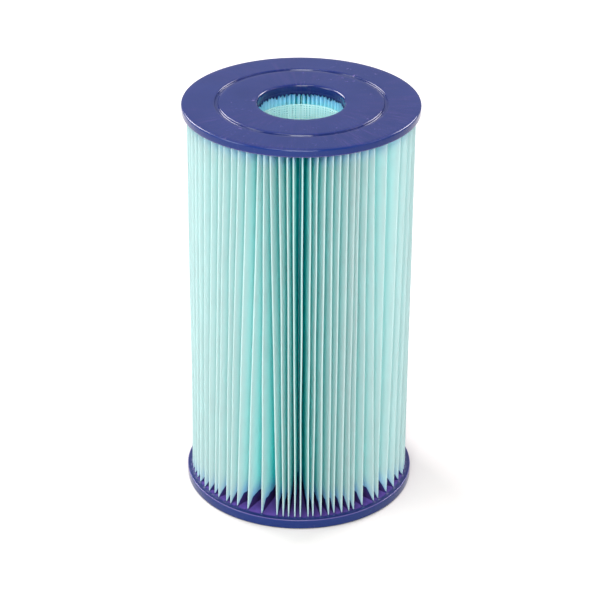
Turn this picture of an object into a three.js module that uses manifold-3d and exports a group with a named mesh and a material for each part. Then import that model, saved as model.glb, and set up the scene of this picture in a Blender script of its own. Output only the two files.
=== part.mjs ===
// Pleated filter cartridge for a small above-ground pool pump.
// Millimetres, +Z up. The origin is the middle of the bottom sealing face, and -Y is the front.
// Two soft end caps are cast on to the ends of a closed ring of pleated media. A netting sleeve
// stands inside the ring, and a bead joins the two ends of the media strip at the back.
import * as THREE from 'three';
import { mergeVertices } from 'three/addons/utils/BufferGeometryUtils.js';
import Module from 'manifold-3d';

const wasm = await Module();
wasm.setup();

// Overall size
const HEIGHT = 254;
const CAP_RADIUS = 71;
const BORE_RADIUS = 26;
const CLEARANCE = 0.3; // kept between neighbouring pieces

// End caps
const TOP_RIM = 4.6; // height of the top cap's outer wall
const BOTTOM_RIM = 6.3;
const COLLAR_DROP = 1; // how far the wall round the bore reaches past the rim
const COLLAR_WALL = 1.1;
const FACE_THICKNESS = 2.2; // of the web behind the sealing face, over the pleat ends
const RIM_FILLET = 0.9;
const BORE_FILLET = 1.3;
const GROOVE_RADIUS = 50.2;
const GROOVE_WIDTH = 2;
const GROOVE_DEPTH = 1.1;
const CAP_SEGMENTS = 72;
const FILLET_STEPS = 2;

// Pleated media
const PLEATS = 72;
const MEDIA_OUTER = 68.2;
const MEDIA_INNER = 28.2;
const MEDIA_THICKNESS = 0.6;
const OUTER_FOLD = 1.5; // width of a folded edge
const INNER_FOLD = 1.2;
const ROOT_FOLLOWS = 0.6; // how much of a change of gap the inner folds follow
const LEAST_ROOT_CHANGE = -0.6;
const FRONT_CROWDING = 0.13; // how much closer the pleats stand at the front than on average
const FRONT_PLEAT_AT = 0.8; // degrees from -Y towards +X
const GAP_CHANGES = [
  // the gap after this pleat, counted from the front one, is this many degrees wider at each end
  { after: -14, bottom: 1, top: 0.5 },
  { after: -13, bottom: 0, top: 1.5 },
  { after: -11, bottom: -1, top: -1 },
  { after: -10, bottom: 1.5, top: 0 },
  { after: -9, bottom: -1.5, top: -0.5 },
  { after: -7, bottom: 2, top: 1.5 },
  { after: -6, bottom: 4, top: -1.5 },
  { after: -5, bottom: 4, top: -1.5 },
  { after: -4, bottom: -1, top: 0 },
  { after: -3, bottom: -1.5, top: -0.5 },
  { after: -2, bottom: -1, top: -1.5 },
  { after: -1, bottom: -1.5, top: 0 },
  { after: 1, bottom: -1.5, top: 0 },
  { after: 4, bottom: -1, top: 0 },
  { after: 7, bottom: -1.5, top: -1.5 },
  { after: 8, bottom: 1.5, top: 1 },
  { after: 9, bottom: 3.5, top: 0 },
  { after: 10, bottom: -1, top: 4.5 },
  { after: 11, bottom: 3, top: 8 },
  { after: 12, bottom: 2.5, top: 2.5 },
  { after: 13, bottom: 2.5, top: 5 },
  { after: 14, bottom: 2, top: 4.5 },
];

// Potting between the pleats
const POTTING_SHARE = 0.45; // of the way out along the pleats, where the potting starts
const LEAST_POTTING = 0.4; // its least width, so it starts further out in a narrow gap
const SIDE_CLEARANCE = 0.4; // to the leaning faces of the pleats
const ANCHOR = 0.5; // how far the potting reaches into the walls it is cast with

// Netting sleeve and seam
const SLEEVE_INNER = 26.4;
const SLEEVE_OUTER = 27.2;
const SLEEVE_BELOW_TOP = 13;
const SEAM_INNER_SHARE = 0.6; // of the way out along the pleats
const SEAM_OUTER_SHARE = 0.85;

const FULL_TURN = 360;
const MEDIA_BOTTOM = FACE_THICKNESS + CLEARANCE;
const MEDIA_TOP = HEIGHT - FACE_THICKNESS - CLEARANCE;
const TIP_TURN = THREE.MathUtils.radToDeg(OUTER_FOLD / 2 / MEDIA_OUTER);

const materials = {
  cap: { color: 0x414f97, roughness: 0.42, metalness: 0 },
  media: { color: 0x9fd8d2, roughness: 0.85, metalness: 0 },
  netting: { color: 0xa9dcd6, roughness: 0.6, metalness: 0 },
  bead: { color: 0xb8dcd6, roughness: 0.5, metalness: 0 },
};

// The point at a radius and at an angle in degrees, counted from the front towards +X.
function polar(radius, degrees) {
  const turn = THREE.MathUtils.degToRad(degrees);
  return new THREE.Vector2(radius * Math.sin(turn), -radius * Math.cos(turn));
}

// The widths, in degrees, of the gaps after some pleats in a row. They add up to a total.
function gapWidths(pleats, total, changeOf) {
  const even = pleats.map((pleat) => {
    return 1 - FRONT_CROWDING * Math.cos(((pleat + 0.5) * 2 * Math.PI) / PLEATS);
  });
  const changes = pleats.map((pleat) => {
    const change = GAP_CHANGES.find((gap) => gap.after === pleat);
    return change ? changeOf(change) : 0;
  });
  const sum = (values) => values.reduce((all, value) => all + value, 0);
  const pitch = (total - sum(changes)) / sum(even);
  return even.map((share, i) => share * pitch + changes[i]);
}

// The angle of each fold, from the one at the back by the left side and the front to the right
// side. The last angle is the first one again.
function foldAngles(changeOf) {
  const half = PLEATS / 2;
  const leftSide = Array.from({ length: half }, (_, i) => i - half);
  const rightSide = Array.from({ length: half }, (_, i) => i);
  const angles = [-FULL_TURN / 2];
  const widths = [
    ...gapWidths(leftSide, FULL_TURN / 2 + FRONT_PLEAT_AT, changeOf),
    ...gapWidths(rightSide, FULL_TURN / 2 - FRONT_PLEAT_AT, changeOf),
  ];
  for (const width of widths) angles.push(angles.at(-1) + width);
  return angles;
}

const tips = {
  bottom: foldAngles((change) => change.bottom),
  top: foldAngles((change) => change.top),
};

// The inner folds stand upright and more evenly than the outer ones, each midway between two.
const middles = foldAngles((change) => {
  return Math.max(LEAST_ROOT_CHANGE, (ROOT_FOLLOWS * (change.bottom + change.top)) / 2);
});
const roots = tips.bottom.slice(0, PLEATS).map((_, i) => (middles[i] + middles[i + 1]) / 2);

// The angle of an outer fold at a height.
function tipAt(i, height) {
  const share = (height - MEDIA_BOTTOM) / (MEDIA_TOP - MEDIA_BOTTOM);
  return THREE.MathUtils.lerp(tips.bottom[i], tips.top[i], share);
}

// Half the angle, in degrees, that a width takes up at a radius.
function halfAngle(width, radius) {
  return THREE.MathUtils.radToDeg(width / 2 / radius);
}

// The outer and the inner outline of the folded strip at a height: a blunt fold at each turn.
function mediaOutlines(height) {
  const outer = [];
  const inner = [];
  const rootTurn = halfAngle(INNER_FOLD, MEDIA_INNER);
  roots.forEach((root, i) => {
    outer.push(polar(MEDIA_OUTER, tipAt(i, height) - TIP_TURN));
    outer.push(polar(MEDIA_OUTER, tipAt(i, height) + TIP_TURN));
    outer.push(polar(MEDIA_INNER + MEDIA_THICKNESS, root));
    inner.push(polar(MEDIA_OUTER - MEDIA_THICKNESS, tipAt(i, height)));
    inner.push(polar(MEDIA_INNER, root - rootTurn));
    inner.push(polar(MEDIA_INNER, root + rootTurn));
  });
  return { outer, inner };
}

// How much further from the axis the lower of two points is.
function spread(a, b) {
  const [low, high] = a[2] < b[2] ? [a, b] : [b, a];
  return Math.hypot(low[0], low[1]) - Math.hypot(high[0], high[1]);
}

// A skin over loops of points, each joined to the next one. Points at the same place are merged.
// Each side is split from its outer lower corner, so that the two faces of a leaning pleat nest.
function joinedLoops(loops) {
  const count = loops[0].length;
  const points = loops.flat();
  const index = [];
  for (let level = 0; level < loops.length - 1; level += 1) {
    for (let i = 0; i < count; i += 1) {
      const a = level * count + i;
      const b = level * count + ((i + 1) % count);
      const [c, d] = [b + count, a + count];
      const splitAtA = spread(points[a], points[c]) > spread(points[b], points[d]);
      index.push(...(splitAtA ? [a, b, c, a, c, d] : [a, b, d, b, c, d]));
    }
  }
  const loose = new THREE.BufferGeometry();
  loose.setAttribute('position', new THREE.Float32BufferAttribute(points.flat(), 3));
  loose.setIndex(index);
  return toGeometry(toSolid(loose));
}

// Points on a quarter round, from one angle to another, about a centre in the lathe's plane.
function quarter(centreRadius, centreHeight, radius, from, to) {
  const points = [];
  for (let step = 0; step <= FILLET_STEPS; step += 1) {
    const angle = from + ((to - from) * step) / FILLET_STEPS;
    const across = centreRadius + radius * Math.cos(angle);
    points.push(new THREE.Vector2(across, centreHeight + radius * Math.sin(angle)));
  }
  return points;
}

// A cap lying on its sealing face at height 0, with its open side up.
function capProfile(rim) {
  const groove = GROOVE_WIDTH / 2;
  return [
    new THREE.Vector2(CAP_RADIUS, rim),
    new THREE.Vector2(MEDIA_OUTER + CLEARANCE, rim),
    new THREE.Vector2(MEDIA_OUTER + CLEARANCE, FACE_THICKNESS),
    new THREE.Vector2(BORE_RADIUS + COLLAR_WALL, FACE_THICKNESS),
    new THREE.Vector2(BORE_RADIUS + COLLAR_WALL, rim + COLLAR_DROP),
    new THREE.Vector2(BORE_RADIUS, rim + COLLAR_DROP),
    ...quarter(BORE_RADIUS + BORE_FILLET, BORE_FILLET, BORE_FILLET, Math.PI, 1.5 * Math.PI),
    new THREE.Vector2(GROOVE_RADIUS - groove, 0),
    new THREE.Vector2(GROOVE_RADIUS - groove / 2, GROOVE_DEPTH),
    new THREE.Vector2(GROOVE_RADIUS + groove / 2, GROOVE_DEPTH),
    new THREE.Vector2(GROOVE_RADIUS + groove, 0),
    ...quarter(CAP_RADIUS - RIM_FILLET, RIM_FILLET, RIM_FILLET, 1.5 * Math.PI, 2 * Math.PI),
    new THREE.Vector2(CAP_RADIUS, rim),
  ];
}

// The two sides of the gap after a pleat at a height, kept clear of the pleats. A share of 0 is at
// the inner fold and 1 is at the outer folds.
function gapSides(i, height, share) {
  const root = polar(MEDIA_INNER + MEDIA_THICKNESS, roots[i]);
  const left = root.clone().lerp(polar(MEDIA_OUTER, tipAt(i, height) + TIP_TURN), share);
  const right = root.clone().lerp(polar(MEDIA_OUTER, tipAt(i + 1, height) - TIP_TURN), share);
  const across = right.clone().sub(left).setLength(SIDE_CLEARANCE);
  return { left: left.add(across), right: right.sub(across) };
}

// The potting in the gap after a pleat: a wedge that runs out into the cap's outer wall.
function pottingWedge(i, low, high) {
  const height = (low + high) / 2;
  const mouth = gapSides(i, height, 1);
  const gap = mouth.left.distanceTo(mouth.right) + 2 * SIDE_CLEARANCE;
  const start = Math.max(POTTING_SHARE, (LEAST_POTTING + 2 * SIDE_CLEARANCE) / gap);
  const inner = gapSides(i, height, start);
  const reach = (MEDIA_OUTER + CLEARANCE + ANCHOR) / MEDIA_OUTER;
  const corners = [
    inner.left,
    mouth.left,
    mouth.left.clone().multiplyScalar(reach),
    mouth.right.clone().multiplyScalar(reach),
    mouth.right,
    inner.right,
  ];
  const depth = high - low;
  const wedge = new THREE.ExtrudeGeometry(new THREE.Shape(corners), { depth, bevelEnabled: false });
  return wedge.translate(0, 0, low);
}

function toSolid(geometry) {
  const bare = geometry.clone();
  bare.deleteAttribute('normal');
  bare.deleteAttribute('uv');
  const merged = mergeVertices(bare, 1e-4);
  return new wasm.Manifold(
    new wasm.Mesh({
      numProp: 3,
      vertProperties: merged.attributes.position.array,
      triVerts: new Uint32Array(merged.index.array),
    }),
  );
}

function toGeometry(solid) {
  const mesh = solid.getMesh();
  const geometry = new THREE.BufferGeometry();
  geometry.setAttribute('position', new THREE.BufferAttribute(mesh.vertProperties, 3));
  geometry.setIndex(new THREE.BufferAttribute(mesh.triVerts, 1));
  geometry.computeVertexNormals();
  return geometry;
}

// A ring turned about +Z from a profile of radius and height.
function turned(profile) {
  return new THREE.LatheGeometry(profile, CAP_SEGMENTS).rotateX(Math.PI / 2);
}

// A cap in its place, with the potting between the pleats as part of the same casting.
function capGeometry(end) {
  const rim = end === 'top' ? TOP_RIM : BOTTOM_RIM;
  const ring = turned(capProfile(rim));
  if (end === 'top') ring.rotateX(Math.PI).translate(0, 0, HEIGHT);
  let solid = toSolid(ring);
  const low = end === 'top' ? HEIGHT - rim : FACE_THICKNESS - ANCHOR;
  const high = low + rim - FACE_THICKNESS + ANCHOR;
  for (let i = 0; i < PLEATS; i += 1) solid = solid.add(toSolid(pottingWedge(i, low, high)));
  return toGeometry(solid);
}

function mediaGeometry() {
  const bottom = mediaOutlines(MEDIA_BOTTOM);
  const top = mediaOutlines(MEDIA_TOP);
  const loops = [
    bottom.outer.map((p) => [p.x, p.y, MEDIA_BOTTOM]),
    top.outer.map((p) => [p.x, p.y, MEDIA_TOP]),
    top.inner.map((p) => [p.x, p.y, MEDIA_TOP]),
    bottom.inner.map((p) => [p.x, p.y, MEDIA_BOTTOM]),
  ];
  return joinedLoops([...loops, loops[0]]);
}

// The bead in the gap at the back, between the two caps' potting.
function seamGeometry() {
  const low = BOTTOM_RIM + CLEARANCE;
  const high = HEIGHT - TOP_RIM - CLEARANCE;
  const loopAt = (height) => {
    const outside = gapSides(0, height, SEAM_OUTER_SHARE);
    const inside = gapSides(0, height, SEAM_INNER_SHARE);
    const corners = [inside.left, outside.left, outside.right, inside.right];
    return corners.map((p) => [p.x, p.y, height]);
  };
  const ends = [loopAt(low), loopAt(high)];
  const [floor, roof] = ends.map((loop) => loop.map(() => centreOf(loop)));
  return joinedLoops([floor, ...ends, roof]);
}

function centreOf(loop) {
  return [0, 1, 2].map((axis) => loop.reduce((sum, p) => sum + p[axis], 0) / loop.length);
}

function sleeveGeometry() {
  const low = BOTTOM_RIM + COLLAR_DROP + CLEARANCE;
  const high = HEIGHT - SLEEVE_BELOW_TOP;
  return turned([
    new THREE.Vector2(SLEEVE_INNER, low),
    new THREE.Vector2(SLEEVE_OUTER, low),
    new THREE.Vector2(SLEEVE_OUTER, high),
    new THREE.Vector2(SLEEVE_INNER, high),
    new THREE.Vector2(SLEEVE_INNER, low),
  ]);
}

function piece(name, geometry, material) {
  const mesh = new THREE.Mesh(geometry, new THREE.MeshStandardMaterial(material));
  mesh.name = name;
  return mesh;
}

const cartridge = new THREE.Group();
cartridge.add(
  piece('top_end_cap', capGeometry('top'), materials.cap),
  piece('bottom_end_cap', capGeometry('bottom'), materials.cap),
  piece('pleated_media', mediaGeometry(), materials.media),
  piece('media_end_seam', seamGeometry(), materials.bead),
  piece('core_netting', sleeveGeometry(), materials.netting),
);

export default cartridge;
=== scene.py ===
"""Looks of the pleated filter cartridge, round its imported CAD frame. Metres, +Z up, front at -Y."""
import math

import bpy
import numpy as np
from mathutils import Matrix, Vector


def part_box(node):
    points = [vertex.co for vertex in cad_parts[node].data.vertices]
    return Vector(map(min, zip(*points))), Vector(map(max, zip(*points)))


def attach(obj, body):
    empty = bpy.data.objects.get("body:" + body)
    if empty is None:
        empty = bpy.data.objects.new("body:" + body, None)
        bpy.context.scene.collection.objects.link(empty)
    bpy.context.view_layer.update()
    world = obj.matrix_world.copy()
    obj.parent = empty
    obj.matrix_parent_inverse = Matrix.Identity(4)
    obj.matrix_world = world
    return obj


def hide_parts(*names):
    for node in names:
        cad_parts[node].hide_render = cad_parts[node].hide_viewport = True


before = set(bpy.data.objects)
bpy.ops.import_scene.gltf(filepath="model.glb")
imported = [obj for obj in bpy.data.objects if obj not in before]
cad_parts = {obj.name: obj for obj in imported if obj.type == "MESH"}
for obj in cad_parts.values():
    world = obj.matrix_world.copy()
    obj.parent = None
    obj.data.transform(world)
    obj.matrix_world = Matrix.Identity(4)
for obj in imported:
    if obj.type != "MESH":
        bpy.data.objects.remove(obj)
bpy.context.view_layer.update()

MM = 0.001
SEED = 11
CLOSE = 0.1 * MM  # how near a point of the frame lies to the radius or height it belongs to
SAME_ANGLE = 1e-3
BACK_MARGIN = 0.02

# The camera of the photograph's view, from a fit to the cap and base ellipses
CAMERA_AT = (0.0, -1.2384, 0.7721)
CAMERA_PITCH = math.radians(27.708)
CAMERA_ROLL = math.radians(0.375)
CAMERA_LENS = 135.97
SENSOR = 36.0

# Media
MEDIA_THICKNESS = 0.4 * MM
OUTER_FOLD_RADIUS = 0.2 * MM
INNER_FOLD_RADIUS = 0.42 * MM
MEDIA_ROWS = 50
LEG_STEPS = 3
BOW = 1.5 * MM
BOW_TURN = 0.15
UNEVEN_BOW = 0.28 * MM
WANDER = 0.22 * MM
WANDER_WAVES, TUCK_WAVES, BOW_WAVES, LEG_WAVES = 6, 4, 3, 4
LEG_SHARE = 0.3
OUTER_FOLD_STEPS = 5
INNER_FOLD_STEPS = 3
TUCK = 0.7 * MM
UNEVEN_TUCK = 0.2 * MM

# Caps
CAP_COLUMNS = 1080
COLLAR_DROP = 1.0 * MM
COLLAR_TOOTH = 2.1 * MM
TOOTH_MEAN, TOOTH_SPREAD = 0.75, 0.5
BORE_RADIUS = 26 * MM
BORE_FILLET = 1.3 * MM
RIM_FILLET = 0.9 * MM
LEDGE_FILLET = 0.35 * MM
POTTING_RINGS = (28.2, 30, 34, 40, 46, 52, 57, 61, 64, 66, 67.2, 68, 68.6, 69.2, 69.8, 70.2)
OUTER_FACE_RINGS = (67, 62, 57, 53)
INNER_FACE_RINGS = (46, 40, 34, 30)
GROOVE_RADIUS = 50.2 * MM
GROOVE_HALF = 1.0 * MM
GROOVE_DEPTH = 1.1 * MM
GROOVE_LIP = 0.8 * MM
GROOVE_SLOPE = 0.2 * MM
WALL_FROM = 70.4 * MM
MATT_TO = 70 * MM
# Painted highlight: a pale band along the top edge of the lower rim, where the edge catches light
EDGE_HIGHLIGHT_BAND = (70.3 * MM, 70.6 * MM)
POTTING_OUTER_FADE = (68.2 * MM, 66.8 * MM)
POTTING_INNER_FADE = (28.6 * MM, 29.4 * MM)
LEDGE_FROM, LEDGE_TO = 0.6 * MM, 0.3 * MM
WIPES = 34
POTTING_DIP = 0.25 * MM
MENISCUS_RISE = 1.1 * MM
MENISCUS_REACH = 0.55 * MM
TIP_RIDGE = 0.12 * MM
RIDGE_FADE = 2.2 * MM
RIDGE_LEAST = 0.35

# Netting sleeve
NET_UPRIGHTS = 96
NET_HOOP_PITCH = 1.5 * MM
NET_WIDTH = 0.72 * MM
NET_DEPTH = 0.4 * MM

# Seam bead
SEAM_ROWS, SEAM_SIDES = 90, 16
SEAM_SQUARE = 0.7

# Colours, linear
# Media colour by radius, painted light and shade: pale towards the outer folds, red taken out deep in
# the folds so the hollows read as shaded deep teal, and pale at the inner folds as painted light
# coming down the bore
MEDIA_PAINTED_DEPTH_SHADE = (
    (31 * MM, (0.58, 0.98, 1.0)),
    (37 * MM, (0.02, 0.99, 0.99)),
    (44 * MM, (0.04, 0.99, 0.99)),
    (50 * MM, (0.22, 0.985, 0.98)),
    (55 * MM, (0.56, 0.965, 0.96)),
    (60 * MM, (0.73, 0.945, 0.94)),
    (67 * MM, (0.77, 0.87, 0.865)),
    (68 * MM, (0.69, 0.80, 0.795)),
)
MEDIA_SHADE = 0.98
MEDIA_ROUGH = (0.78, 0.95)
FIBRE_SCALE = (2600, 2600, 900)
STRAND_SCALE = (1500, 1500, 500)
MEDIA_THROUGH = (0.88, 1.0, 1.0)
MEDIA_TINGE = (0.40, 0.72, 0.95)
POTTING_COLOUR = (0.090, 0.052, 0.265)
POTTING_EDGE = (0.04, 0.07, 0.30)
LEDGE_ROUGH = 0.4
CAP_ROUGH = (0.11, 0.2)
CAP_SPECULAR = 0.35
WEAR_ROUGH = 0.2
SHEEN_STREAK_SHARE = 0.45
SIDE_SHADE_SHARE = 0.85
WEAR_SHARE = 0.6
EDGE_HIGHLIGHT_SHARE = 0.3
CAP_DEEP = (0.003, 0.011, 0.080)
CAP_PALE = (0.006, 0.015, 0.094)
# Painted side shade: the outer wall gets its own bluer colour for how light falls on the side against
# the top face
CAP_SIDE_SHADE = (0.001, 0.016, 0.118)
# Painted sheen: a pinkish purple laid along the wipe streaks of the cap face
CAP_PAINTED_SHEEN = (0.032, 0.024, 0.115)
# Colour of the scuffs, and of the painted highlight on the lower rim's edge
CAP_WEAR_AND_HIGHLIGHT = (0.25, 0.18, 0.40)
NET_DEEP = (0.42, 0.70, 0.69)
NET_PALE = (0.50, 0.76, 0.74)
SEAM_DEEP = (0.50, 0.74, 0.70)
SEAM_PALE = (0.62, 0.82, 0.78)
FLOOR_COLOUR = (0.54, 0.532, 0.52)

# How the blue casting has soaked into the media, and how far light travels inside it
STAIN_FOOT = 0.5 * MM
STAIN_REACH = 6 * MM
STAIN_RISE = 7.5 * MM
STAIN_WANDER = 4 * MM
TINGE_REACH = 10 * MM
STAIN_ABOVE = 0.3
TINGE_POWER = 1.5
TINGE_AT_TIPS, TINGE_IN_FOLDS = 0.25, 0.8
SEE_THROUGH = 0.6

# Stage, metres
FLOOR = 3.0
FLOOR_GAP = 0.0002
FLOOR_ROUGH = 0.9
WORLD_LIGHT = 0.55
LIGHT_BOUNCES = 24

rng = np.random.default_rng(SEED)


# ---------------------------------------------------------------- small geometry helpers

def polar(radius, angle):
    """x and y at a radius and at an angle counted from the front towards +X."""
    return np.stack([radius * np.sin(angle), -radius * np.cos(angle)], axis=-1)


def make_mesh(name, points, faces, smooth=True):
    mesh = bpy.data.meshes.new(name)
    mesh.from_pydata(points.reshape(-1, 3).tolist(), [], faces)
    mesh.update()
    piece = bpy.data.objects.new(name, mesh)
    bpy.context.scene.collection.objects.link(piece)
    mesh.polygons.foreach_set("use_smooth", np.full(len(mesh.polygons), smooth))
    return piece


def grid_quads(rows, columns, close_rows=False):
    """Faces over a grid of points whose columns go round and close."""
    last = rows if close_rows else rows - 1
    row, column = np.meshgrid(np.arange(last), np.arange(columns), indexing="ij")
    beside = (column + 1) % columns
    above = (row + 1) % rows
    corners = [row * columns + column, row * columns + beside]
    corners += [above * columns + beside, above * columns + column]
    return np.stack(corners, axis=-1).reshape(-1, 4)


def smooth_noise(count, waves, height):
    """One wavering line for each of count items, zero at both ends, from -1 to 1 or so."""
    share = np.linspace(0, 1, height)
    line = np.zeros((height, count))
    for wave in range(1, waves + 1):
        size = rng.normal(size=count) / wave
        line += np.sin(np.pi * wave * share)[:, None] * size
    return line


# ---------------------------------------------------------------- pleat layout, from the frame

def node_points(name):
    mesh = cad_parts[name].data
    found = np.empty(len(mesh.vertices) * 3, np.float32)
    mesh.vertices.foreach_get("co", found)
    return found.reshape(-1, 3).astype(float)


def ring_angles(points, radius, height):
    """The angles of the points at a radius and height, each once, from the back leftwards."""
    reach = np.hypot(points[:, 0], points[:, 1])
    near = (np.abs(reach - radius) < CLOSE) & (np.abs(points[:, 2] - height) < CLOSE)
    angle = np.arctan2(points[near, 0], -points[near, 1])
    turn = np.mod(angle + math.pi + BACK_MARGIN, 2 * math.pi) - BACK_MARGIN
    turn = np.sort(turn)
    keep = np.concatenate([[True], np.diff(turn) > SAME_ANGLE])
    return turn[keep] - math.pi


def pleat_layout():
    """Angles of the outer folds at the bottom and the top, and of the inner fold after each."""
    points = node_points("pleated_media")
    low, high = points[:, 2].min(), points[:, 2].max()
    radii = np.unique(np.round(np.hypot(points[:, 0], points[:, 1]) / MM, 1)) * MM
    inner, root, tip, outer = radii
    return {
        "bottom": ring_angles(points, tip, low),
        "top": ring_angles(points, tip, high),
        "roots": ring_angles(points, root, low),
        "low": low,
        "high": high,
        "inner": inner,
        "outer": outer,
    }


layout = pleat_layout()
bottom_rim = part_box("bottom_end_cap")[1].z - COLLAR_DROP
top_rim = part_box("top_end_cap")[0].z + COLLAR_DROP
PLEATS = len(layout["roots"])
assert len(layout["bottom"]) == len(layout["top"]) == PLEATS


# ---------------------------------------------------------------- pleated media

def unit(vectors):
    return vectors / np.linalg.norm(vectors, axis=-1, keepdims=True)


def side_of(vectors):
    """Each vector turned a quarter turn, towards a growing angle for one that points outwards."""
    return np.stack([-vectors[..., 1], vectors[..., 0]], axis=-1)


def arc(centre, radius, across, along, steps):
    """Points on a half circle round each centre, from -across by along to +across."""
    turn = np.linspace(-math.pi / 2, math.pi / 2, steps)[:, None]
    swing = np.sin(turn) * across[..., None, :] + np.cos(turn) * along[..., None, :]
    return centre[..., None, :] + radius * swing


def leg(start, end, lean, across):
    """Points on a pleat's face between its folds, bowed sideways by lean in the middle."""
    share = np.linspace(0, 1, LEG_STEPS + 2)[1:-1][:, None]
    line = start[..., None, :] + (end - start)[..., None, :] * share
    return line + np.sin(math.pi * share) * (lean[..., None] * across)[..., None, :]


def media_path():
    """The middle of the folded strip: rows by points round the ring by x and y, and the heights."""
    share = np.linspace(0, 1, MEDIA_ROWS)[:, None]
    tips = layout["bottom"] + (layout["top"] - layout["bottom"]) * share
    tips = tips + smooth_noise(PLEATS, WANDER_WAVES, MEDIA_ROWS) * WANDER / layout["outer"]
    half = MEDIA_THICKNESS / 2
    tuck = TUCK * rng.random(PLEATS) ** 2
    tuck = tuck + np.abs(smooth_noise(PLEATS, TUCK_WAVES, MEDIA_ROWS)) * UNEVEN_TUCK
    reach = layout["outer"] - half - OUTER_FOLD_RADIUS - tuck
    outer = polar(reach, tips)
    inner_reach = np.full_like(tips, layout["inner"] + half + INNER_FOLD_RADIUS)
    inner = polar(inner_reach, np.broadcast_to(layout["roots"], tips.shape))
    before = np.roll(inner, 1, axis=1)
    along = unit(outer - (before + inner) / 2)
    across = side_of(along)
    inward = -unit(inner)
    inner_side = -side_of(inward)
    held = np.sin(math.pi * share) ** 0.5
    swept = -np.tanh(np.sin(layout["bottom"]) / BOW_TURN) * BOW
    blade = smooth_noise(PLEATS, BOW_WAVES, MEDIA_ROWS) * UNEVEN_BOW + swept * held
    leans = [blade + smooth_noise(PLEATS, LEG_WAVES, MEDIA_ROWS) * UNEVEN_BOW * LEG_SHARE
             for _ in range(2)]
    fold_before = before + np.roll(inner_side, 1, axis=1) * INNER_FOLD_RADIUS
    fold_after = inner - inner_side * INNER_FOLD_RADIUS
    points = np.concatenate([
        leg(fold_before, outer - across * OUTER_FOLD_RADIUS, leans[0], across),
        arc(outer, OUTER_FOLD_RADIUS, across, along, OUTER_FOLD_STEPS),
        leg(outer + across * OUTER_FOLD_RADIUS, fold_after, leans[1], across),
        arc(inner, INNER_FOLD_RADIUS, inner_side, inward, INNER_FOLD_STEPS),
    ], axis=2)
    heights = layout["low"] + (layout["high"] - layout["low"]) * share[:, 0]
    return points.reshape(MEDIA_ROWS, -1, 2), heights


def build_media():
    path, heights = media_path()
    tangent = unit(np.roll(path, -1, axis=1) - np.roll(path, 1, axis=1))
    outward = -side_of(tangent) * MEDIA_THICKNESS / 2
    level = np.repeat(heights[:, None, None], path.shape[1], axis=1)
    outside = np.concatenate([path + outward, level], axis=2)
    inside = np.concatenate([path - outward, level], axis=2)[::-1]
    skin = np.concatenate([outside, inside])
    quads = grid_quads(skin.shape[0], skin.shape[1], close_rows=True)
    piece = make_mesh("pleated_media_cloth", skin, quads.tolist())
    middle = path[MEDIA_ROWS // 2]
    strip = np.linalg.norm(np.roll(middle, -1, axis=0) - middle, axis=1).sum()
    return piece, (float(heights[-1] - heights[0]), float(strip))


# ---------------------------------------------------------------- end caps

def quarter(centre, radius, start, steps):
    """Points on a quarter round in the plane of radius and height, from an angle in degrees."""
    turn = np.radians(np.linspace(start, start + 90, steps))
    return [(centre[0] + radius * math.cos(a), centre[1] + radius * math.sin(a)) for a in turn]


def cap_rings(rim, wall, bore):
    """The cap's outline from its potting over the rim and face to the bore: (radius, height)."""
    potting = [(r * MM, rim - POTTING_DIP) for r in POTTING_RINGS]
    lip = quarter((wall - LEDGE_FILLET, rim - LEDGE_FILLET), LEDGE_FILLET, 90, 4)[::-1]
    lip = [(2 * (wall - LEDGE_FILLET) - r, h) for r, h in lip][::-1]
    side = [(wall, rim * 0.6), (wall, rim * 0.4)]
    edge = quarter((wall - RIM_FILLET, RIM_FILLET), RIM_FILLET, 270, 6)[::-1]
    face = [(r * MM, 0.0) for r in OUTER_FACE_RINGS]
    a, b = GROOVE_RADIUS + GROOVE_HALF, GROOVE_RADIUS - GROOVE_HALF
    outer_lip = quarter((a + GROOVE_LIP, GROOVE_LIP), GROOVE_LIP, 180, 6)[::-1]
    inner_lip = quarter((b - GROOVE_LIP, GROOVE_LIP), GROOVE_LIP, 270, 6)[::-1]
    floor = [(a - GROOVE_SLOPE, GROOVE_DEPTH), (b + GROOVE_SLOPE, GROOVE_DEPTH)]
    groove = outer_lip + floor + inner_lip
    inner = [(r * MM, 0.0) for r in INNER_FACE_RINGS]
    mouth = quarter((bore + BORE_FILLET, BORE_FILLET), BORE_FILLET, 180, 7)[::-1]
    foot = rim + COLLAR_DROP
    collar = [(bore, rim * 0.6), (bore, rim + COLLAR_DROP * 0.5), (bore + 0.1 * MM, foot),
              (bore + 0.6 * MM, foot), (bore + 1.3 * MM, rim + COLLAR_DROP * 0.6)]
    rings = potting + lip + side + edge + face + groove + inner + mouth + collar
    return np.array(rings), len(potting), len(collar) - 2


def nearest(angles, places):
    """The distance from each angle to the nearest of some places, all in radians."""
    ring = np.sort(np.concatenate([places - 2 * math.pi, places, places + 2 * math.pi]))
    after = np.clip(np.searchsorted(ring, angles), 1, len(ring) - 1)
    return np.minimum(np.abs(angles - ring[after - 1]), np.abs(ring[after] - angles))


def leg_angles(radius, tips):
    """Where the pleats' faces cross a circle. A straight face's angle changes with 1 / radius."""
    inner, outer = layout["inner"], layout["outer"]
    share = (1 / inner - 1 / min(radius, outer)) / (1 / inner - 1 / outer)
    half = (OUTER_FOLD_RADIUS + MEDIA_THICKNESS / 2) / outer
    roots = layout["roots"]
    after = np.roll(tips, -1)
    after = np.where(after < roots, after + 2 * math.pi, after)
    left = roots + (tips + half - roots) * share
    right = roots + (after - half - roots) * share
    return np.concatenate([left, right])


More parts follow.
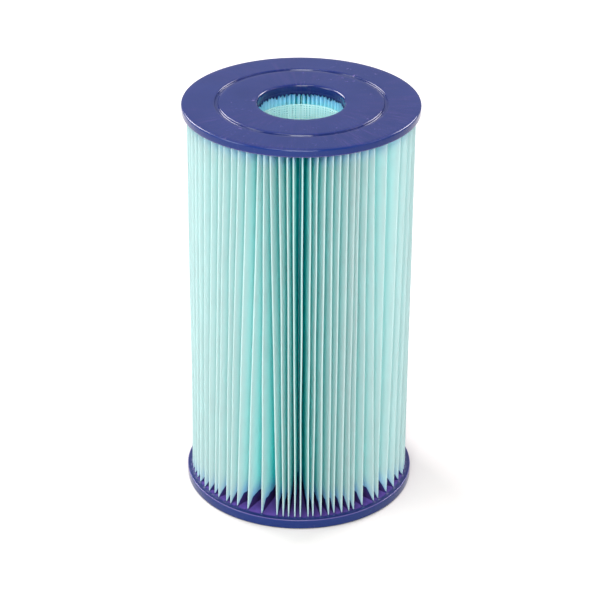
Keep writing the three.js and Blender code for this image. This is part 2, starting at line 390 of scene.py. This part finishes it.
def potting_rise(radius, angles, tips):
    """How far the potting climbs near the pleats, and the low ridge from each pleat to the rim."""
    to_face = nearest(angles, leg_angles(radius, tips))
    climb = MENISCUS_RISE * np.exp(-to_face * radius / MENISCUS_REACH)
    if radius <= layout["outer"]:
        return climb
    away = nearest(angles, tips) * radius / MENISCUS_REACH
    fade = max(0.0, 1 - (radius - layout["outer"]) / RIDGE_FADE)
    return TIP_RIDGE * np.exp(-away ** 2) * (RIDGE_LEAST + (1 - RIDGE_LEAST) * fade)


def build_cap(name, end):
    low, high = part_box(name)
    rim = high.z - low.z - COLLAR_DROP
    tips = layout[end]
    rings, potted, teeth = cap_rings(rim, high.x, BORE_RADIUS)
    angles = np.linspace(-math.pi, math.pi, CAP_COLUMNS, endpoint=False)
    radius = np.repeat(rings[:, :1], CAP_COLUMNS, axis=1)
    height = np.repeat(rings[:, 1:], CAP_COLUMNS, axis=1)
    for ring in range(potted):
        height[ring] += potting_rise(rings[ring, 0], angles, tips)
    gap = nearest(angles, layout["roots"]) / (2 * math.pi / PLEATS / 2)
    uneven = TOOTH_MEAN + TOOTH_SPREAD * np.sin(angles * 17 + 1) * np.sin(angles * 7)
    tooth = COLLAR_TOOTH * np.clip(gap, 0, 1) ** 1.5 * uneven
    height[-teeth:] += tooth
    place = polar(radius, angles[None, :])
    z = low.z + height if end == "bottom" else high.z - height
    points = np.concatenate([place, z[..., None]], axis=2)
    quads = grid_quads(len(rings), CAP_COLUMNS, close_rows=True)
    quads = quads[:, ::-1] if end == "bottom" else quads
    return make_mesh(name + "_cast", points, quads.tolist())


# ---------------------------------------------------------------- netting sleeve

def bar_ring(radius, depth, low, high, sides):
    """A flat-sided hoop: its four edges go round, and close."""
    angles = np.linspace(-math.pi, math.pi, sides, endpoint=False)
    corners = [(radius, low), (radius, high), (radius - depth, high), (radius - depth, low)]
    rows = [np.concatenate([polar(np.full(sides, r), angles), np.full((sides, 1), z)], axis=1)
            for r, z in corners]
    return np.array(rows), grid_quads(4, sides, close_rows=True)


def upright(radius, depth, angle, low, high):
    """A straight strand from the bottom to the top of the sleeve, with closed ends."""
    half = NET_WIDTH / 2 / radius
    ring = [(radius, angle - half), (radius, angle + half),
            (radius - depth, angle + half), (radius - depth, angle - half)]
    points = [[*polar(r, a), z] for z in (low, high) for r, a in ring]
    faces = [[0, 1, 5, 4], [1, 2, 6, 5], [2, 3, 7, 6], [3, 0, 4, 7], [3, 2, 1, 0], [4, 5, 6, 7]]
    return np.array(points), np.array(faces)


def build_netting():
    low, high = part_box("core_netting")
    radius = high.x
    parts = []
    hoops = int((high.z - low.z) / NET_HOOP_PITCH)
    for hoop in range(hoops + 1):
        z = low.z + (high.z - low.z - NET_WIDTH) * hoop / hoops
        parts.append(bar_ring(radius, NET_DEPTH, z, z + NET_WIDTH, NET_UPRIGHTS))
    for strand in range(NET_UPRIGHTS):
        angle = 2 * math.pi * (strand + 0.5) / NET_UPRIGHTS
        parts.append(upright(radius - NET_DEPTH * 0.5, NET_DEPTH, angle, low.z, high.z))
    points, faces, used = [], [], 0
    for part, quads in parts:
        points.append(part.reshape(-1, 3))
        faces.append(quads + used)
        used += len(points[-1])
    points, faces = np.concatenate(points), np.concatenate(faces).tolist()
    return make_mesh("core_netting_mesh", points, faces, smooth=False)


# ---------------------------------------------------------------- seam bead

def build_seam():
    """The hot-melt bead between the two ends of the strip, a little lumpy along its length."""
    points = node_points("media_end_seam")
    low, high = points[:, 2].min(), points[:, 2].max()
    foot = points[np.abs(points[:, 2] - low) < CLOSE]
    middle = foot[:, :2].mean(axis=0)
    half = (foot[:, :2].max(axis=0) - foot[:, :2].min(axis=0)) / 2
    rows, sides = SEAM_ROWS, SEAM_SIDES
    turn = np.linspace(0, 2 * math.pi, sides, endpoint=False)
    share = np.linspace(0, 1, rows)
    lumps = 0.86 + 0.05 * np.sin(share * 71) + 0.04 * np.sin(share * 173 + 1)
    ends = np.clip(np.minimum(share, 1 - share) * rows / 2, 0.05, 1) ** 0.5
    size = (lumps * ends)[:, None]
    across, out = [np.abs(part) ** SEAM_SQUARE * np.sign(part)
                   for part in (np.cos(turn), np.sin(turn))]
    x = middle[0] + half[0] * 0.8 * size * across
    y = middle[1] + half[1] * size * out
    z = np.repeat((low + (high - low) * share)[:, None], sides, axis=1)
    skin = np.stack([x, y, z], axis=2)
    faces = grid_quads(rows, sides).tolist()
    faces += [list(range(sides))[::-1], [(rows - 1) * sides + i for i in range(sides)]]
    return make_mesh("media_end_seam_bead", skin, faces)


# ---------------------------------------------------------------- materials

class Nodes:
    """A material's node tree with short calls for the nodes used here."""

    def __init__(self, name):
        self.material = bpy.data.materials.new(name)
        self.material.use_nodes = True
        self.tree = self.material.node_tree
        self.shader = self.tree.nodes["Principled BSDF"]
        self.place = self.node("ShaderNodeTexCoord").outputs["Object"]

    def node(self, kind, **settings):
        made = self.tree.nodes.new(kind)
        for key, value in settings.items():
            setattr(made, key, value)
        return made

    def feed(self, socket, value):
        if isinstance(value, bpy.types.NodeSocket):
            self.tree.links.new(value, socket)
        elif value is not None:
            socket.default_value = value

    def math(self, operation, first, second=None):
        made = self.node("ShaderNodeMath", operation=operation)
        for socket, value in zip(made.inputs, (first, second)):
            self.feed(socket, value)
        return made.outputs[0]

    def stretch(self, scale):
        made = self.node("ShaderNodeMapping")
        self.feed(made.inputs["Vector"], self.place)
        made.inputs["Scale"].default_value = scale
        return made.outputs[0]

    def noise(self, scale, detail=4.0, roughness=0.55, source=None):
        made = self.node("ShaderNodeTexNoise")
        self.feed(made.inputs["Vector"], source or self.place)
        made.inputs["Scale"].default_value = scale
        made.inputs["Detail"].default_value = detail
        made.inputs["Roughness"].default_value = roughness
        return made.outputs["Fac"]

    def cells(self, scale, source=None, feature="DISTANCE_TO_EDGE"):
        made = self.node("ShaderNodeTexVoronoi", feature=feature)
        self.feed(made.inputs["Vector"], source or self.place)
        made.inputs["Scale"].default_value = scale
        return made.outputs["Distance"]

    def span(self, value, low, high, to_low=0.0, to_high=1.0):
        made = self.node("ShaderNodeMapRange")
        self.feed(made.inputs["Value"], value)
        limits = {"From Min": low, "From Max": high, "To Min": to_low, "To Max": to_high}
        for name, number in limits.items():
            self.feed(made.inputs[name], number)
        return made.outputs[0]

    def ramp(self, value, stops):
        low, high = stops[0][0], stops[-1][0]
        made = self.node("ShaderNodeValToRGB")
        self.feed(made.inputs[0], self.span(value, low, high))
        elements = made.color_ramp.elements
        while len(elements) < len(stops):
            elements.new(0.5)
        for element, (at, colour) in zip(elements, stops):
            element.position = (at - low) / (high - low)
            element.color = (*colour, 1.0)
        return made.outputs[0]

    def mix(self, share, first, second, blend="MIX"):
        made = self.node("ShaderNodeMix", data_type="RGBA", blend_type=blend)
        self.feed(made.inputs["Factor"], share)
        for name, value in (("A", first), ("B", second)):
            socket = [s for s in made.inputs if s.name == name and s.type == "RGBA"][0]
            self.feed(socket, (*value, 1.0) if isinstance(value, tuple) else value)
        return [s for s in made.outputs if s.type == "RGBA"][0]

    def parts(self):
        made = self.node("ShaderNodeSeparateXYZ")
        self.feed(made.inputs[0], self.place)
        return made.outputs

    def radius(self):
        x, y, _ = self.parts()
        squares = [self.math("MULTIPLY", part, part) for part in (x, y)]
        return self.math("SQRT", self.math("ADD", *squares))

    def joined(self, x, y, z):
        made = self.node("ShaderNodeCombineXYZ")
        for socket, value in zip(made.inputs, (x, y, z)):
            self.feed(socket, value)
        return made.outputs[0]

    def bump(self, height, distance, strength=1.0, over=None):
        made = self.node("ShaderNodeBump")
        made.inputs["Strength"].default_value = strength
        made.inputs["Distance"].default_value = distance
        self.feed(made.inputs["Height"], height)
        self.feed(made.inputs["Normal"], over)
        return made.outputs[0]

    def shade(self, **inputs):
        for name, value in inputs.items():
            socket = self.shader.inputs[name.replace("_", " ")]
            is_colour = isinstance(value, tuple) and socket.type == "RGBA"
            self.feed(socket, (*value, 1.0) if is_colour else value)


def put_on(piece, material):
    piece.data.materials.clear()
    piece.data.materials.append(material)


def media_material():
    """Pale teal non-woven cloth: fine fibres, cloudy density, a stain by the blue castings, and a
    colour by radius that is painted shade deep in the folds and painted light at the inner folds.
    """
    m = Nodes("media_nonwoven")
    cloud = m.noise(60, 5)
    fibre = m.noise(1, 6, 0.7, m.stretch(FIBRE_SCALE))
    strand = m.cells(1, m.stretch(STRAND_SCALE))
    z = m.parts()[2]
    radius = m.radius()
    # Painted shade and light: the colour follows depth in the folds, not the cloth
    base = m.ramp(radius, MEDIA_PAINTED_DEPTH_SHADE)
    shade = (MEDIA_SHADE,) * 3
    base = m.mix(m.span(cloud, 0.3, 0.7, 1.0, 0.0), base, m.mix(1.0, base, shade, "MULTIPLY"))
    base = m.mix(m.span(fibre, 0.35, 0.65, 0.5, 0.0), base, m.mix(1.0, base, shade, "MULTIPLY"))
    depth = m.span(radius, layout["outer"], layout["outer"] - STAIN_REACH, 0.0, 1.0)
    wander = m.math("MULTIPLY", m.math("SUBTRACT", m.noise(190, 3), 0.5), STAIN_WANDER)
    soaked = m.math("MULTIPLY", depth, m.math("ADD", wander, STAIN_RISE))
    above = m.math("SUBTRACT", m.math("SUBTRACT", z, bottom_rim + STAIN_FOOT), soaked)
    soaked_above = m.math("MULTIPLY", soaked, STAIN_ABOVE)
    below = m.math("SUBTRACT", m.math("SUBTRACT", top_rim, z), soaked_above)
    nearest_cap = m.math("MINIMUM", above, below)
    tinge = m.math("POWER", m.span(nearest_cap, 0.0, TINGE_REACH, 1.0, 0.0), TINGE_POWER)
    tinge = m.math("MULTIPLY", tinge, m.span(depth, 0.0, 1.0, TINGE_AT_TIPS, TINGE_IN_FOLDS))
    base = m.mix(tinge, base, MEDIA_TINGE)
    base = m.mix(m.span(nearest_cap, -0.2 * MM, 0.35 * MM, 1.0, 0.0), base, POTTING_EDGE)
    base = m.mix(m.span(nearest_cap, -1.6 * MM, -0.4 * MM, 1.0, 0.0), base, POTTING_COLOUR)
    rough = m.span(fibre, 0.2, 0.8, *MEDIA_ROUGH)
    grain = m.bump(strand, 0.12 * MM, 0.5)
    soft = m.bump(m.noise(240, 3), 0.35 * MM, 0.6, grain)
    normal = m.bump(fibre, 0.08 * MM, 0.6, soft)
    m.shade(Base_Color=base, Roughness=rough, Normal=normal, Specular_IOR_Level=0.0)
    through = m.node("ShaderNodeBsdfTranslucent")
    m.feed(through.inputs["Color"], m.mix(1.0, base, MEDIA_THROUGH, "MULTIPLY"))
    blend = m.node("ShaderNodeMixShader")
    m.feed(blend.inputs[0], SEE_THROUGH)
    m.feed(blend.inputs[1], m.shader.outputs[0])
    m.feed(blend.inputs[2], through.outputs[0])
    output = m.tree.nodes["Material Output"]
    m.feed(output.inputs["Surface"], blend.outputs[0])
    return m.material


def cap_material():
    """Satin blue cast plastic: faint streaks from the bore outwards with painted sheen along them,
    scuffs, fine pits, a painted highlight on the lower rim's top edge and a painted side shade on the
    outer wall.
    """
    m = Nodes("cap_cast_blue")
    x, y, z = m.parts()
    radius = m.radius()
    east = m.math("DIVIDE", x, radius)
    north = m.math("DIVIDE", y, radius)
    wiped = m.joined(m.math("MULTIPLY", east, WIPES), m.math("MULTIPLY", north, WIPES),
                     m.math("MULTIPLY", radius, 60))
    brush = m.noise(1, 3, 0.6, wiped)
    patch = m.span(m.noise(22, 2), 0.45, 0.62)
    cloud = m.noise(35, 4)
    base = m.mix(m.span(cloud, 0.3, 0.7), CAP_DEEP, CAP_PALE)
    # Painted sheen along the wipe streaks, which are also made glossier below
    streaks = m.math("MULTIPLY", m.span(brush, 0.45, 0.7), patch)
    base = m.mix(m.math("MULTIPLY", streaks, SHEEN_STREAK_SHARE), base, CAP_PAINTED_SHEEN)
    # Painted side shade: the outer wall coloured apart from the face of the same plastic
    wall = m.span(radius, WALL_FROM, WALL_FROM + 0.3 * MM)
    base = m.mix(m.math("MULTIPLY", wall, SIDE_SHADE_SHARE), base, CAP_SIDE_SHADE)
    ledges = m.math("MULTIPLY", m.span(z, bottom_rim - LEDGE_FROM, bottom_rim - LEDGE_TO),
                    m.span(z, top_rim + LEDGE_FROM, top_rim + LEDGE_TO))
    inside = m.math("MULTIPLY", ledges, m.span(radius, *POTTING_OUTER_FADE))
    inside = m.math("MULTIPLY", inside, m.span(radius, *POTTING_INNER_FADE))
    base = m.mix(inside, base, POTTING_COLOUR)
    # Painted highlight along the rim's top edge, in the scuff colour
    edge = m.math("MULTIPLY", ledges, m.span(radius, *EDGE_HIGHLIGHT_BAND))
    base = m.mix(m.math("MULTIPLY", edge, EDGE_HIGHLIGHT_SHARE), base, CAP_WEAR_AND_HIGHLIGHT)
    wear = m.math("MULTIPLY", m.span(m.noise(300, 5, 0.7), 0.62, 0.72),
                  m.span(m.noise(30, 2), 0.5, 0.65))
    base = m.mix(m.math("MULTIPLY", wear, WEAR_SHARE), base, CAP_WEAR_AND_HIGHLIGHT)
    rough = m.math("ADD", m.span(streaks, 0.0, 1.0, *CAP_ROUGH),
                   m.math("MULTIPLY", wear, WEAR_ROUGH))
    matt = m.math("MULTIPLY", ledges, m.span(radius, WALL_FROM, MATT_TO))
    rough = m.math("ADD", rough, m.math("MULTIPLY", matt, LEDGE_ROUGH))
    pits = m.span(m.cells(1400, feature="F1"), 0.0, 0.3)
    ripple = m.bump(cloud, 0.25 * MM, 0.5)
    lines = m.bump(brush, 0.05 * MM, 0.4, ripple)
    normal = m.bump(pits, 0.03 * MM, 0.5, lines)
    m.shade(Base_Color=base, Roughness=rough, Normal=normal, Specular_IOR_Level=CAP_SPECULAR)
    return m.material


def netting_material():
    """Pale extruded plastic net, cloudy and a little rough."""
    m = Nodes("netting_plastic")
    cloud = m.noise(180, 4)
    base = m.mix(m.span(cloud, 0.3, 0.7), NET_DEEP, NET_PALE)
    normal = m.bump(m.noise(1800, 4), 0.05 * MM, 0.5)
    m.shade(Base_Color=base, Roughness=m.span(cloud, 0.3, 0.7, 0.4, 0.6), Normal=normal,
            Specular_IOR_Level=0.2)
    return m.material


def seam_material():
    """Cloudy hot-melt glue, smoother than the media it joins."""
    m = Nodes("seam_hot_melt")
    cloud = m.noise(220, 4)
    base = m.mix(m.span(cloud, 0.3, 0.7), SEAM_DEEP, SEAM_PALE)
    normal = m.bump(m.noise(500, 4), 0.2 * MM, 0.6)
    m.shade(Base_Color=base, Roughness=m.span(cloud, 0.3, 0.7, 0.25, 0.45), Normal=normal)
    return m.material


# ---------------------------------------------------------------- pieces on the frame

def place(piece, node, slot, material):
    put_on(piece, material)
    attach(piece, "root")
    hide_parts(node)


caps = cap_material()
top_cap = build_cap("top_end_cap", "top")
bottom_cap = build_cap("bottom_end_cap", "bottom")
place(top_cap, "top_end_cap", "end_cap", caps)
place(bottom_cap, "bottom_end_cap", "end_cap", caps)
netting = build_netting()
place(netting, "core_netting", "netting", netting_material())
seam = build_seam()
place(seam, "media_end_seam", "seam_bead", seam_material())
media, flat = build_media()
place(media, "pleated_media", "media", media_material())


# ---------------------------------------------------------------- floor, light and camera

def make_floor():
    corners = [[-FLOOR, -FLOOR, 0], [FLOOR, -FLOOR, 0], [FLOOR, FLOOR, 0], [-FLOOR, FLOOR, 0]]
    floor = make_mesh("floor", np.array(corners), [[0, 1, 2, 3]], smooth=False)
    floor.location.z = -FLOOR_GAP
    m = Nodes("floor_white")
    m.shade(Base_Color=FLOOR_COLOUR, Roughness=FLOOR_ROUGH, Specular_IOR_Level=0.0)
    put_on(floor, m.material)


def area_light(name, at, aim, size, power, colour=(1, 1, 1)):
    data = bpy.data.lights.new(name, "AREA")
    data.shape = "RECTANGLE"
    data.size, data.size_y = size
    data.energy = power
    data.color = colour
    lamp = bpy.data.objects.new(name, data)
    lamp.location = at
    away = Vector(aim) - Vector(at)
    lamp.rotation_euler = away.to_track_quat("-Z", "Y").to_euler()
    bpy.context.scene.collection.objects.link(lamp)


def make_world():
    world = bpy.data.worlds.new("studio")
    bpy.context.scene.world = world
    world.use_nodes = True
    background = world.node_tree.nodes["Background"]
    background.inputs["Color"].default_value = (1, 1, 1, 1)
    background.inputs["Strength"].default_value = WORLD_LIGHT


def make_camera():
    data = bpy.data.cameras.new("camera")
    data.lens = CAMERA_LENS
    data.sensor_width = SENSOR
    data.clip_start = 0.05
    camera = bpy.data.objects.new("camera", data)
    bpy.context.scene.collection.objects.link(camera)
    ahead = Vector((0, math.cos(CAMERA_PITCH), -math.sin(CAMERA_PITCH)))
    right = Vector((1, 0, 0))
    up = right.cross(ahead)
    across = math.cos(CAMERA_ROLL) * right + math.sin(CAMERA_ROLL) * up
    upward = -math.sin(CAMERA_ROLL) * right + math.cos(CAMERA_ROLL) * up
    turn = Matrix((across, upward, -ahead)).transposed().to_4x4()
    camera.matrix_world = Matrix.Translation(CAMERA_AT) @ turn
    bpy.context.scene.camera = camera


make_floor()
make_world()
area_light("overhead", (-0.3, -0.5, 1.8), (0, 0, 0.13), (0.7, 0.7), 12)
area_light("left", (-1.15, -0.5, 0.75), (0, 0, 0.13), (0.5, 0.9), 8)
area_light("right", (1.05, -0.65, 0.7), (0, 0, 0.13), (0.5, 0.9), 1, (0.92, 1, 1))
area_light("front", (0, -1.5, 0.98), (0, 0, 0.13), (0.8, 0.8), 27)
area_light("back left", (-0.85, 0.85, 1.03), (0, 0, 0.25), (0.65, 0.65), 24, (1, 0.93, 0.97))
area_light("back right", (0.85, 0.85, 1.03), (0, 0, 0.25), (0.55, 0.55), 18, (1, 0.93, 0.97))
area_light("top left", (-0.95, 0.1, 1.25), (0, 0, 0.25), (0.5, 0.5), 4)
area_light("top right", (0.95, 0.1, 1.25), (0, 0, 0.25), (0.4, 0.4), 2.5, (1, 0.86, 0.95))
make_camera()
bpy.context.scene.view_settings.view_transform = "Standard"
bpy.context.scene.cycles.diffuse_bounces = LIGHT_BOUNCES
bpy.context.scene.cycles.max_bounces = LIGHT_BOUNCES
